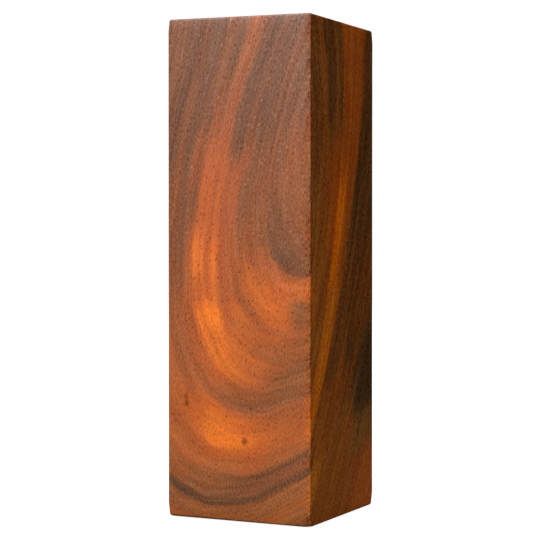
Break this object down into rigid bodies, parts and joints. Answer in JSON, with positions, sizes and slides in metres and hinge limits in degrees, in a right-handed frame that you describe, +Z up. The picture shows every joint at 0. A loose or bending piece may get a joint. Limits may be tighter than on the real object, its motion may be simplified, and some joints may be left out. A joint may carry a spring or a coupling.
{
  "type": "dip pen holder",
  "caption": "Tall square block of figured hardwood, bored from above with brass-lined wells in which dip pens stand nib up.",
  "frame": {"origin": "centre of the underside of the base pad, on the surface that the holder stands on", "axes": "+Z up along the block, -Y out of its front face, +X to the right seen from the front"},
  "size_m": [0.038, 0.038, 0.1211],
  "materials": {
    "rosewood": "satin oiled rosewood with orange, purple-brown and black figure",
    "brass": "drawn tube, lightly tarnished",
    "felt": "pressed wool felt, matt",
    "steel": "turned bar, plain",
    "cork": "fine pressed cork, sanded"
  },
  "bodies": {
    "root": {"wood_block": "rosewood", "pen_liner_front_left": "brass", "pen_liner_front_right": "brass", "pen_liner_back_left": "brass", "pen_liner_back_right": "brass", "liner_cushion_front_left": "felt", "liner_cushion_front_right": "felt", "liner_cushion_back_left": "felt", "liner_cushion_back_right": "felt", "ballast_slug": "steel", "base_pad": "cork"}
  },
  "joints": []
}
